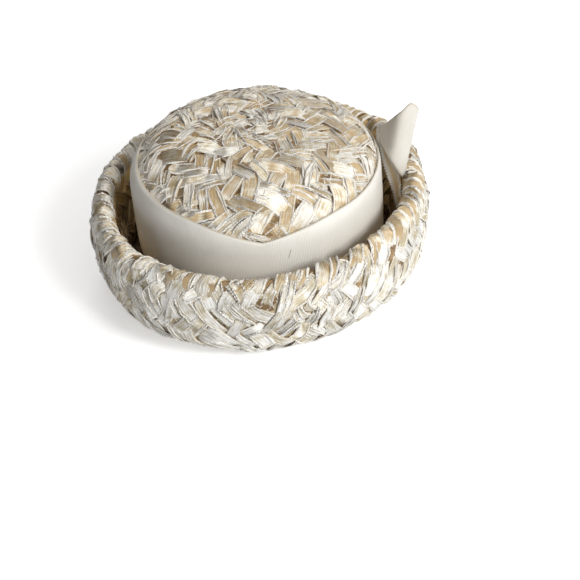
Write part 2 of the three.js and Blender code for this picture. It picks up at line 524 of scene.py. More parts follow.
@dataclass
class StripLayer:
    """One layer of straw strips, or of the cords that edge them, as one piece."""

    name: str
    surface: Surface
    form: Form = Form.FLAT
    rows: int = 7
    seed: int = 1
    dip: float = 2.3
    camber: float = 0.45
    rumple: float = 0.2
    wander: float = 0.35
    rim: float = 0.5

    def build(self, strips: Strips, material: Material, side: Array | float = 0.0) -> Object:
        """Makes the piece.

        Args:
            strips: Where the strips lie.
            material: The finish.
            side: For cords, the distance of each from the middle of its strip, in mm.

        Returns:
            The new object.
        """
        rng = np.random.default_rng(self.seed)
        shape = self.form.value
        mesh, sides, rows = bar_template(len(shape.across), self.rows)
        count = strips.count
        mesh = copied(mesh, count)
        t = np.linspace(-1.0, 1.0, self.rows)[None, :, None]
        section = np.array(shape.across)[None, None, :]
        height = np.array(shape.height)[None, None, :]

        def column(values: Array | float) -> Array:
            """Turns a number for each strip into a stack that every row and side can use."""
            return np.asarray(values, float).reshape(-1, 1, 1)

        def noise(size: float) -> Array:
            """Gives a random number for each row of each strip."""
            return rng.normal(size=(count, self.rows, 1)) * size

        ends = 1.0 - 0.45 * t**2 - 0.55 * np.abs(t) ** 3.5
        if self.form is Form.FLAT:
            half = column(strips.width) / 2 * (0.8 + 0.2 * ends) * (1.0 + noise(0.04))
            rim = self.rim * np.sign(section) * (np.abs(section) > 1.0)
            across = half * section + rim + noise(self.wander)
            lift = height + self.camber * (1.0 - section**2) * column(strips.width) / 8.0
        else:
            swell = np.clip(1.0 + noise(0.22), 0.5, 1.6) * (0.4 + 0.6 * ends)
            radius = column(strips.width) * swell
            across = column(side) * (0.8 + 0.2 * ends) + noise(self.wander) + radius * section
            lift = radius * height
        lift = lift + column(strips.lift) + column(strips.lean) * across + noise(self.rumple)
        across = across + column(strips.bow) * (t**2 - 0.4)
        lift = lift - self.dip * (1.0 - ends)
        along = t * column(strips.length) / 2 + noise(0.3) * (np.abs(t) < 1)
        cos, sin = np.cos(column(strips.heading)), np.sin(column(strips.heading))
        points = self.surface.place(
            column(strips.angle),
            column(strips.run),
            along * cos - across * sin,
            along * sin + across * cos,
            lift,
        )
        points = points[:, rows, sides] * MM
        mesh.vertices.foreach_set("co", points.astype(np.float32).ravel())
        whole = (count, len(rows))
        along_uv = np.broadcast_to((along / 10.0 + column(np.arange(count) * 7.31))[:, rows, 0], whole)
        across_uv = np.broadcast_to((np.array(shape.across)[sides] + 1) / 2, whole)
        set_uv(mesh, across_uv, along_uv)
        set_points(mesh, "tone", np.broadcast_to(strips.tone[:, None], whole))
        set_points(mesh, "edge", np.broadcast_to(np.array(shape.edge)[sides], whole))
        closed_outwards(mesh)
        piece = new_mesh_object(self.name, mesh)
        mesh.materials.clear()
        mesh.materials.append(material)
        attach(piece, BODY)
        return piece


@dataclass(frozen=True)
class Plait:
    """A round of interlaced strips between two lengths down a surface."""

    start: float
    stop: float
    pitch: float = 9.0
    slant: float = 1.0
    stray_overs: float = 0.5
    grouping: float = 0.0
    longest: int = 3
    lift: float = 0.4
    lift_spread: float = 0.22
    width_share: float = 1.0
    light: float = 0.5
    stray: float = 0.17
    curl: float = 1.1

    def strips(self, surface: Surface, rng: np.random.Generator) -> tuple[Strips, Strips]:
        """Works out the floats of the plait: where one strip lies over the others.

        Args:
            surface: What the strips lie on.
            rng: Source of the small irregularities.

        Returns:
            The strips on top, and those that pass under them.
        """
        middle = self._middle(surface)
        columns = max(5, round(2 * math.pi * middle / (self.pitch * math.sqrt(2))))
        levels = max(2, round((self.stop - self.start) / (math.pi * middle / columns)))
        first = rng.random() * 2 * math.pi
        over = self._over(levels, columns, first, rng)
        lines = rng.random((2, 2, columns))
        top = self._laid(self._floats(over, rng), columns, levels, first, lines, surface, rng)
        low = self._laid(self._floats(~over, rng), columns, levels, first, lines, surface, rng)
        low.lift = 0.4 * (low.lift - self.lift) - 0.2
        low.width = low.width * 1.1
        # Strips underneath get low tones; the straw finish darkens those below 0 towards painted shade in
        # the creases.
        low.tone = np.clip(low.tone - 0.7, -0.35, 0.25)
        return top, low

    def _middle(self, surface: Surface) -> float:
        """Gives the surface's mean radius halfway down the round, in mm."""
        return float(surface.outline.radius(np.array((self.start + self.stop) / 2)))

    def _floats(self, over: Array, rng: np.random.Generator) -> list[tuple[float, ...]]:
        """Joins the crossings where a strip stays on top into floats.

        Args:
            over: At each level and place, whether the rising strip is the one that counts.
            rng: Source of the small irregularities.

        Returns:
            The place, level, direction, length and line of each float.
        """
        levels, columns = over.shape
        taken = np.zeros((levels, columns), bool)
        rows = []
        for level in range(levels):
            for place in range(columns):
                if taken[level, place]:
                    continue
                taken[level, place] = True
                rising = over[level, place]
                length = 1
                at = place
                while level + length < levels and length < self.longest:
                    odd = (level + length - 1) % 2
                    ahead = (at + odd) % columns if rising else (at - 1 + odd) % columns
                    if taken[level + length, ahead] or over[level + length, ahead] != rising:
                        break
                    if length >= 2 and rng.random() < 0.3:
                        break
                    taken[level + length, ahead] = True
                    at = ahead
                    length += 1
                sign = 1.0 if rising else -1.0
                half = (length - 1) / 2
                x = place + (level % 2) / 2
                line = round(x - sign * level / 2)
                rows.append((x + sign * half / 2, level + 0.5 + half, sign, length, line))
        return rows

    def _laid(self, floats: list[tuple[float, ...]], columns: int, levels: int, first: float, lines: Array,
              surface: Surface, rng: np.random.Generator) -> Strips:
        """Gives the strips for some floats, with the width and tone of the line that each belongs to.

        Args:
            floats: Place, level, direction, length and line of each float.
            columns: How many crossings lie round the surface.
            levels: How many rows of crossings there are.
            first: Angle of the first crossing.
            lines: Width and tone of each line, for the two directions.
            surface: What the strips lie on.
            rng: Source of the small irregularities.

        Returns:
            The strips.
        """
        place, level, sign, length, line = (np.array(column, float) for column in zip(*floats))
        count = len(place)
        middle = self._middle(surface)
        cell, step = 2 * math.pi * middle / columns, (self.stop - self.start) / levels
        run = self.start + level * step
        local = surface.outline.radius(run) / middle
        slant = math.atan2(step, cell / 2) * self.slant
        wide, tone = lines[:, (sign > 0).astype(int), line.astype(int) % columns]
        return Strips(
            angle=first + (place * cell + rng.normal(size=count) * 0.8) / middle,
            run=run + rng.normal(size=count) * 0.6,
            heading=sign * slant + rng.normal(size=count) * self.stray,
            length=(length + 1.15) * self.pitch * (1 + 0.08 * rng.normal(size=count)) * np.sqrt(local),
            width=self.pitch * self.width_share * (0.6 + 0.42 * wide + 0.08 * rng.random(count))
            * np.clip(local, 0.6, 1.25),
            lift=self.lift + self.lift_spread * rng.normal(size=count),
            tone=np.clip(self.light + 0.62 * (tone - 0.5) + 0.14 * rng.normal(size=count), 0.0, 1.0),
            bow=rng.normal(size=count) * self.curl,
            lean=rng.normal(size=count) * 0.07,
        )

    def _over(self, levels: int, columns: int, first: float, rng: np.random.Generator) -> Array:
        """Says at each crossing whether the strip that rises to the bow's side lies on top.

        Args:
            levels: How many rows of crossings there are.
            columns: How many crossings lie round the surface.
            first: Angle of the first crossing.
            rng: Source of the small irregularities.

        Returns:
            A yes or no for each level and place.
        """
        angle = first + np.arange(columns)[None, :] / columns * 2 * math.pi
        rows = np.where((np.arange(levels)[:, None] // 2) % 2 == 0, 1.0, -1.0)
        groups = self.grouping * (np.sin(3 * angle) + 0.5 * np.sin(11 * angle + 1.0))
        return rows + groups + self.stray_overs * rng.normal(size=(levels, columns)) > 0


EDGE_STRANDS = 2
NARROW_STRIP = 4.5


def cords_of(strips: Strips, rng: np.random.Generator) -> tuple[Strips, Array]:
    """Gives the corded edges that run beside some strips.

    Args:
        strips: The strips.
        rng: Source of the small irregularities.

    Returns:
        The cords, and the distance of each one from its strip's middle, in mm.
    """
    numbers = np.tile(np.arange(strips.count), 2 * EDGE_STRANDS)
    side = np.repeat([-1.0, 1.0], strips.count * EDGE_STRANDS)
    strand = np.tile(np.repeat(np.arange(EDGE_STRANDS), strips.count), 2)
    narrow = strips.width[numbers] < NARROW_STRIP
    first, second = np.where(narrow, 0.8, 0.94), np.where(narrow, 0.0, 0.3)
    keep = rng.random(len(numbers)) < np.where(strand == 0, first, second)
    numbers, side, strand = numbers[keep], side[keep], strand[keep]
    cords = strips.picked(numbers)
    count = cords.count
    distance = side * (cords.width / 2 - 0.2 - 0.95 * strand + 0.4 * rng.normal(size=count))
    cords.width = np.where(strand == 0, 0.5, 0.36) + 0.16 * rng.random(count)
    cords.lift = cords.lift + 0.5 + 0.12 * strand + 0.22 * rng.normal(size=count)
    cords.length = cords.length * (0.86 + 0.2 * rng.random(count))
    cords.heading = cords.heading + 0.045 * rng.normal(size=count)
    cords.bow = cords.bow + 0.35 * rng.normal(size=count)
    cords.tone = np.clip(0.9 + 0.15 * rng.normal(size=count), 0.0, 1.0)
    return cords, distance


def split_some(strips: Strips, surface: Surface, rng: np.random.Generator, share: Array | float) -> Strips:
    """Parts some strips lengthwise into two narrow ones side by side.

    Args:
        strips: The strips.
        surface: What they lie on.
        rng: Source of the small irregularities.
        share: The share of the strips that are parted, one for all or one for each.

    Returns:
        All the strips.
    """
    parted = rng.random(strips.count) < share
    halves = [strips.picked(~parted)]
    for side in (-1.0, 1.0):
        half = strips.picked(parted)
        apart = side * half.width * 0.29
        half.angle = half.angle - apart * np.sin(half.heading) / surface.outline.radius(half.run)
        half.run = half.run + apart * np.cos(half.heading)
        half.width = half.width * (0.46 + 0.14 * rng.random(half.count))
        half.heading = half.heading + 0.07 * rng.normal(size=half.count)
        half.length = half.length * (0.85 + 0.25 * rng.random(half.count))
        half.lift = half.lift + 0.25 * rng.normal(size=half.count)
        half.tone = np.clip(half.tone + 0.15 * rng.normal(size=half.count), 0.0, 1.0)
        halves.append(half)
    return Strips.joined(halves)


def loose_over(strips: Strips, rng: np.random.Generator, share: float = 0.22) -> Strips:
    """Gives narrow loose strips that lie over some of the others.

    Args:
        strips: The strips that they are among.
        rng: Source of the small irregularities.
        share: How many there are for each of the strips.

    Returns:
        The loose strips.
    """
    loose = strips.picked(rng.choice(strips.count, int(share * strips.count), replace=False))
    count = loose.count
    loose.heading = loose.heading + 0.3 * rng.normal(size=count)
    loose.width = 2.0 + 2.2 * rng.random(count)
    loose.length = loose.length * (0.8 + 0.35 * rng.random(count))
    loose.lift = loose.lift + 0.75 + 0.3 * rng.random(count)
    loose.run = loose.run + 2.5 * rng.normal(size=count)
    loose.angle = loose.angle + 0.025 * rng.normal(size=count)
    loose.bow = 1.4 * rng.normal(size=count)
    loose.tone = np.clip(0.62 + 0.25 * rng.normal(size=count), 0.0, 1.0)
    return loose


class Nodes:
    """Short ways to add nodes to a tree."""

    def __init__(self, tree: bpy.types.NodeTree) -> None:
        """Keeps the tree and clears it."""
        self.tree = tree
        tree.nodes.clear()

    def add(self, kind: str, **settings: object) -> bpy.types.Node:
        """Adds a node with its properties, and with values for the inputs given as in_Name or in_0.

        Args:
            kind: Kind of the node.
            settings: Its properties and the values of its inputs.

        Returns:
            The node.
        """
        node = self.tree.nodes.new(kind)
        for name, value in settings.items():
            if name.startswith("in_"):
                key = name[3:].replace("_", " ")
                socket = node.inputs[int(key)] if key.isdigit() else node.inputs[key]
                self.give(socket, value)
            else:
                setattr(node, name, value)
        return node

    def give(self, socket: Socket, value: object) -> None:
        """Links another node's output to an input, or sets the input's own value.

        Args:
            socket: The input.
            value: Another node's output, or a plain value.
        """
        if isinstance(value, Socket):
            self.tree.links.new(value, socket)
        else:
            socket.default_value = value

    def math(self, operation: str, first: object, second: object = 0.0, clamp: bool = False) -> Socket:
        """Adds a Math node and gives its output."""
        node = self.add("ShaderNodeMath", operation=operation, use_clamp=clamp, in_0=first, in_1=second)
        return node.outputs[0]

    def plus(self, first: object, second: object) -> Socket:
        """Adds two numbers."""
        return self.math("ADD", first, second)

    def less(self, first: object, second: object) -> Socket:
        """Takes the second number from the first."""
        return self.math("SUBTRACT", first, second)

    def times(self, first: object, second: object) -> Socket:
        """Multiplies two numbers."""
        return self.math("MULTIPLY", first, second)

    def strip_uv(self) -> tuple[Socket, Socket]:
        """Reads the two numbers of a strip's or ribbon's own UV map.

        Returns:
            The number across and the one along a strip, or the one along and the one across a ribbon.
        """
        place = self.add("ShaderNodeUVMap", uv_map="strip").outputs[0]
        split = self.add("ShaderNodeSeparateXYZ", in_0=place)
        return split.outputs[0], split.outputs[1]

    def mix(self, share: object, first: object, second: object) -> Socket:
        """Mixes two colours and gives the output.

        Args:
            share: Share of the second colour.
            first: The first colour.
            second: The second colour.

        Returns:
            The mixed colour.
        """
        node = self.add("ShaderNodeMix", data_type="RGBA")
        for index, value in ((0, share), (6, first), (7, second)):
            self.give(node.inputs[index], value)
        return node.outputs[2]

    def range(self, value: object, low: float, high: float, to_low: float, to_high: float) -> Socket:
        """Maps a number smoothly from one range to another and gives the output.

        Args:
            value: The number.
            low: Start of its range.
            high: End of its range.
            to_low: Result at the start.
            to_high: Result at the end.

        Returns:
            The mapped number.
        """
        node = self.add("ShaderNodeMapRange", interpolation_type="SMOOTHSTEP")
        for index, part in enumerate((value, low, high, to_low, to_high)):
            self.give(node.inputs[index], part)
        return node.outputs[0]

    def noise(self, place: Socket, scale: float, detail: float, **settings: object) -> Socket:
        """Adds a noise texture and gives its output."""
        node = self.add("ShaderNodeTexNoise", in_Vector=place, in_Scale=scale, in_Detail=detail, **settings)
        return node.outputs[0]

    def surface(self, height: Socket, strength: float, depth: float, **inputs: object) -> None:
        """Adds the bump, whose depth is in mm, the surface shader and the material's output.

        Args:
            height: Height of the relief.
            strength: Strength of the bump.
            depth: Depth of the bump, in mm.
            inputs: Values of the surface shader's inputs.
        """
        bump = self.add("ShaderNodeBump", in_Strength=strength, in_Distance=depth * MM, in_Height=height)
        shader = self.add("ShaderNodeBsdfPrincipled", in_Normal=bump.outputs[0], **inputs)
        self.add("ShaderNodeOutputMaterial", in_Surface=shader.outputs[0])


def new_group(
    name: str, inputs: dict[str, tuple[str, object]], outputs: dict[str, str]
) -> tuple[bpy.types.NodeTree, Nodes]:
    """Starts a shader node group.

    Args:
        name: Its name.
        inputs: Each input's socket kind and default.
        outputs: Each output's socket kind.

    Returns:
        The group, and its node helper.
    """
    tree = bpy.data.node_groups.new(name, "ShaderNodeTree")
    nodes = Nodes(tree)
    for label, (kind, value) in inputs.items():
        socket = tree.interface.new_socket(label, in_out="INPUT", socket_type=kind)
        if value is not None:
            socket.default_value = value
    for label, kind in outputs.items():
        tree.interface.new_socket(label, in_out="OUTPUT", socket_type=kind)
    return tree, nodes


def new_material(name: str) -> tuple[Material, Nodes]:
    """Starts a material and gives its node helper.

    Args:
        name: Its name.

    Returns:
        The material, and the helper for its nodes.
    """
    material = bpy.data.materials.new(name)
    material.use_nodes = True
    return material, Nodes(material.node_tree)


def fibre_group() -> bpy.types.NodeTree:
    """Builds the lengthwise fibres, pleats and twisted edge of a straw strip, from its UV map.

    Returns:
        The group.
    """
    given = {"Pleats": ("NodeSocketFloat", 4.0)}
    made = dict.fromkeys(("Streak", "Pleat", "Blotch", "Bead"), "NodeSocketFloat")
    tree, nodes = new_group("fibres", given, made)
    pleats = nodes.add("NodeGroupInput").outputs[0]
    across, along = nodes.strip_uv()
    fine = nodes.add("ShaderNodeCombineXYZ", in_0=nodes.times(across, 12.0), in_1=nodes.times(along, 0.9))
    streak = nodes.noise(fine.outputs[0], 1.0, 3.5, in_Roughness=0.62)
    soft = nodes.add("ShaderNodeCombineXYZ", in_0=nodes.times(across, 0.7), in_1=nodes.times(along, 1.5))
    blotch = nodes.noise(soft.outputs[0], 1.0, 1.0)
    bent = nodes.plus(across, nodes.times(blotch, 0.25))
    pleat = nodes.math("SINE", nodes.times(bent, nodes.times(pleats, 2 * math.pi)))
    twist = nodes.plus(nodes.times(along, 10 * math.pi), nodes.times(across, 2.0))
    bead = nodes.math("SINE", nodes.plus(twist, nodes.times(streak, 3.0)))
    nodes.add("NodeGroupOutput", in_0=streak, in_1=pleat, in_2=blotch, in_3=bead)
    return tree


@dataclass(frozen=True)
class StrawFinish:
    """Glossy plaited straw: gold to silvery strips, cream edges, and painted shade in the creases between
    them.
    """

    name: str
    gold: Rgba = (0.52, 0.385, 0.215, 1.0)
    cream: Rgba = (0.71, 0.63, 0.47, 1.0)
    silver: Rgba = (0.89, 0.87, 0.81, 1.0)
    cord: Rgba = (1.0, 0.975, 0.915, 1.0)
    # Painted shade colour for the strips' side walls under their raised ribs.
    side_shade: Rgba = (0.34, 0.22, 0.09, 1.0)
    # Painted shade colour for the creases between strips, under the cords and on the strips underneath.
    crease_shade: Rgba = (0.16, 0.085, 0.02, 1.0)
    roughness: float = 0.31
    pleats: float = 4.0
    relief: float = 0.6

    def material(self, fibres: bpy.types.NodeTree) -> Material:
        """Builds the material round the shared fibre group.

        Args:
            fibres: The group that draws the fibres.

        Returns:
            The material.
        """
        material, nodes = new_material(self.name)
        group = nodes.add("ShaderNodeGroup", node_tree=fibres)
        group.inputs[0].default_value = self.pleats
        streak, pleat, blotch, bead = (group.outputs[index] for index in range(4))
        tone = nodes.add("ShaderNodeAttribute", attribute_name="tone").outputs["Fac"]
        edge = nodes.add("ShaderNodeAttribute", attribute_name="edge").outputs["Fac"]
        wash = nodes.plus(tone, nodes.times(nodes.less(blotch, 0.5), 2.0))
        wash = nodes.plus(wash, nodes.times(nodes.less(streak, 0.5), 2.2))
        pale = nodes.mix(nodes.range(wash, 0.1, 0.6, 0.0, 1.0), self.gold, self.cream)
        pale = nodes.mix(nodes.range(wash, 0.5, 0.95, 0.0, 1.0), pale, self.silver)
        # Painted shade in the pleat grooves, on streaky stretches of each strip.
        groove_reach = nodes.range(streak, 0.45, 0.6, 0.0, 0.5)
        groove_shade = nodes.times(nodes.range(pleat, -1.0, -0.7, 1.0, 0.0), groove_reach)
        pale = nodes.mix(groove_shade, pale, self.gold)
        raised = nodes.range(edge, 0.4, 0.9, 0.0, 1.0)
        frayed = nodes.times(raised, nodes.range(streak, 0.25, 0.5, 0.6, 1.0))
        frayed = nodes.times(frayed, nodes.range(bead, -1.0, 0.2, 0.62, 1.0))
        colour = nodes.mix(frayed, pale, self.cord)
        # Painted shade on each strip's side wall, under its raised rib.
        inside = nodes.range(edge, 0.3, 0.6, 1.0, 0.0)
        side_shade = nodes.times(nodes.range(edge, 0.08, 0.2, 0.0, 0.75), inside)
        colour = nodes.mix(side_shade, colour, self.side_shade)
        # Painted shade in the creases between strips and under the cords.
        colour = nodes.mix(nodes.range(edge, -0.75, 0.1, 1.0, 0.0), colour, self.crease_shade)
        # Painted shade on the strips underneath, deeper the lower their tone.
        colour = nodes.mix(nodes.range(tone, -0.6, 0.1, 0.8, 0.0), colour, self.crease_shade)
        rough = nodes.range(streak, 0.3, 0.7, self.roughness - 0.1, self.roughness + 0.16)
        rough = nodes.math("ADD", rough, nodes.range(edge, -0.7, 0.0, 0.5, 0.0), clamp=True)
        height = nodes.plus(nodes.times(pleat, 0.14), nodes.times(streak, 1.1))
        height = nodes.plus(height, nodes.times(bead, nodes.range(edge, 0.5, 1.0, 0.0, 0.5)))
        coat = nodes.range(edge, -0.6, 0.2, 0.0, 0.14)
        nodes.surface(height, 0.8, self.relief, in_Base_Color=colour, in_Roughness=rough, in_IOR=1.5,
                      in_Coat_Weight=coat, in_Coat_Roughness=0.22)
        return material


@dataclass(frozen=True)
class BackingFinish:
    """The shaded straw under the top strips, with a coarse weave."""

    name: str = "straw_backing"
    dark: Rgba = (0.14, 0.08, 0.03, 1.0)
    warm: Rgba = (0.36, 0.235, 0.11, 1.0)

    def material(self) -> Material:
        """Builds the material on object coordinates.

        Returns:
            The material.
        """
        material, nodes = new_material(self.name)
        place = nodes.add("ShaderNodeTexCoord").outputs["Object"]
        coarse = nodes.noise(place, 180.0, 3.0)
        fine = nodes.noise(place, 900.0, 2.0)
        colour = nodes.mix(nodes.range(coarse, 0.35, 0.65, 0.0, 1.0), self.dark, self.warm)
        nodes.surface(nodes.plus(coarse, fine), 0.7, 0.6, in_Base_Color=colour, in_Roughness=0.55)
        return material


@dataclass(frozen=True)
class RibbonFinish:
    """Matte grosgrain: fine ribs with painted shade in their valleys, a faint slub and a line along each
    edge.
    """

    name: str
    base: Rgba = (0.765, 0.752, 0.712, 1.0)
    shade: Rgba = (0.69, 0.67, 0.62, 1.0)
    # Colour of the lines along both edges: painted contact shade and edge shade on the band and the bow,
    # the white pinked edge on the tail.
    rim: Rgba = (0.60, 0.54, 0.44, 1.0)
    nick_dark: Rgba = (0.13, 0.10, 0.07, 1.0)
    width: float = 58.0
    rim_width: float = 0.9
    rib: float = 1.15
    roughness: float = 0.72
    nick: tuple[float, float] | None = None
    nick_slope: float = 0.38

    def material(self) -> Material:
        """Builds the material on the ribbon's own UV map, whose unit is a metre.

        Returns:
            The material.
        """
        material, nodes = new_material(self.name)
        length, width = (nodes.times(part, 1.0 / MM) for part in nodes.strip_uv())
        ribs = nodes.math("SINE", nodes.times(length, 2 * math.pi / self.rib))
        place = nodes.add("ShaderNodeTexCoord").outputs["Object"]
        slub = nodes.noise(place, 70.0, 4.0)
        grain = nodes.noise(place, 2200.0, 2.0)
        # Painted shade in the valleys between the ribs.
        valley_shade = nodes.range(ribs, -1.0, 0.2, 0.55, 0.0)
        colour = nodes.mix(nodes.range(slub, 0.3, 0.7, 0.0, 0.45), self.base, self.shade)
        colour = nodes.mix(nodes.times(valley_shade, 0.6), colour, self.shade)
        # A wavy line along both edges takes the rim colour: painted shade on the band and the bow, the
        # white pinked edge on the tail.
        middle = nodes.math("ABSOLUTE", nodes.less(width, self.width / 2))
        wavy = nodes.plus(middle, nodes.times(ribs, 0.15))
        border = self.width / 2
        edge_line_and_contact_shade = nodes.range(wavy, border - self.rim_width, border - self.rim_width / 3, 0.0, 1.0)
        colour = nodes.mix(edge_line_and_contact_shade, colour, self.rim)
        if self.nick is not None:
            colour = nodes.mix(self._nicked(nodes, length, width), colour, self.nick_dark)
        height = nodes.plus(ribs, nodes.times(grain, 1.4))
        nodes.surface(height, 0.45, 0.16, in_Base_Color=colour, in_Roughness=self.roughness,
                      in_Sheen_Weight=0.15, in_Sheen_Roughness=0.5)
        return material

    def _nicked(self, nodes: Nodes, length: Socket, width: Socket) -> Socket:
        """Masks the small dark slanted nick across the ribs.

        Args:
            nodes: The material's node helper.
            length: Place along the ribbon, in mm.
            width: Place across it, in mm.

        Returns:
            How dark each place is, from 0 to 1.
        """
        up = nodes.less(width, self.nick[1])
        aside = nodes.less(nodes.less(length, self.nick[0]), nodes.times(up, self.nick_slope))
        thin = nodes.range(nodes.math("ABSOLUTE", aside), 0.12, 0.42, 0.8, 0.0)
        short = nodes.range(nodes.math("ABSOLUTE", up), 2.0, 3.8, 1.0, 0.0)
        return nodes.times(thin, short)


@dataclass
class RibbonSheet:
    """A ribbon as one thin sheet, laid by a function of its length and width."""

    name: str
    place: Callable[[Array, Array], Array]
    steps: int
    spans: int
    flat: tuple[float, float]
    thickness: float = 1.0
    held: str = "folded"
    rests_on: tuple[str, ...] = ("crown",)

    def build(self, material: Material, node: str) -> Object:
        """Makes the sheet and hides the CAD node that it stands for.

        Args:
            material: The finish.
            node: Name of the CAD node.

        Returns:
            The new object.
        """
        shape = bmesh.new()
        bmesh.ops.create_grid(shape, x_segments=self.steps, y_segments=self.spans, size=0.5)
        shares = np.array([point.co[:2] for point in shape.verts]) + 0.5
        mesh = mesh_of(shape, self.name)
        places = self.place(shares[:, 0], shares[:, 1])
        mesh.vertices.foreach_set("co", (places * MM).astype(np.float32).ravel())
        set_uv(mesh, shares[:, 0] * self.flat[1], shares[:, 1] * self.flat[0])
        mesh.shade_smooth()
        piece = new_mesh_object(self.name, mesh)
        mesh.materials.append(material)
        thick = piece.modifiers.new("thickness", "SOLIDIFY")
        thick.thickness = self.thickness * MM
        thick.offset = 0.0
        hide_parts(node)
        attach(piece, BODY)
        return piece


@dataclass
class Band:
    """The ribbon round the crown, with its ends lapped under the bow."""

    crown: CrownSurface
    width: float = 58.0
    top_z: float = 85.0
    clearance: float = 1.1
    tilt: float = 3.3
    dip_depth: float = 8.8
    dip_half_angle: float = 0.65
    dip_power: float = 1.6
    seam_angle: float = 1.62
    lap: float = 0.14
    lap_step: float = 1.15
    stand_off: float = 0.6
    girth_radius: float = 91.5
    fold_angle: float = -0.96
    fold_spread: float = 0.2

    def shift(self, angle: Array) -> Array:
        """Says how far the band stands above or below its level at some angles, in mm.

        Args:
            angle: The angles, in radians.

        Returns:
            The distance at each angle.
        """
        turn = np.mod(angle, 2 * math.pi)
        near = np.minimum(turn, 2 * math.pi - turn) / self.dip_half_angle
        return -self.tilt * np.sin(angle) - self.dip_depth * np.maximum(0.0, 1 - near) ** self.dip_power

    def place(self, along: Array, across: Array) -> Array:
        """Gives the points of the band at some shares of its length and width.

        Args:
            along: Shares of the length, from 0 to 1.
            across: Shares of the width, from the lower edge up.

        Returns:
            The points, in mm.
        """
        turn = 2 * math.pi + self.lap
        angle = self.seam_angle + self.lap / 2 - turn * (1 - along)
        level = self.top_z - self.width * (1 - across)
        height = level + self.shift(angle)
        under = smoothstep(along, 0.0, self.lap / turn) * self.lap_step
        away = angle - self.fold_angle
        folds = 0.75 * np.exp(-((away / self.fold_spread) ** 2)) * np.sin(away * 15.0)
        bulge = 0.5 * np.sin(np.pi * across) + folds * (0.3 + 0.7 * (1 - across))
        out = self.crown.half_width(height) + self.clearance + under - self.lap_step + self.stand_off
        return ring_point(out + np.maximum(bulge, -0.3), angle, height)

    def build(self, material: Material) -> list[Object]:
        """Makes the band.

        Args:
            material: The finish.

        Returns:
            The piece, in a list.
        """
        length = (2 * math.pi * self.girth_radius + self.lap * self.girth_radius) * MM
        sheet = RibbonSheet("band_ribbon", self.place, 300, 24, (self.width * MM, length), held="stretched")
        return [sheet.build(material, "band")]


KNOT_FACE_Y = 5.3


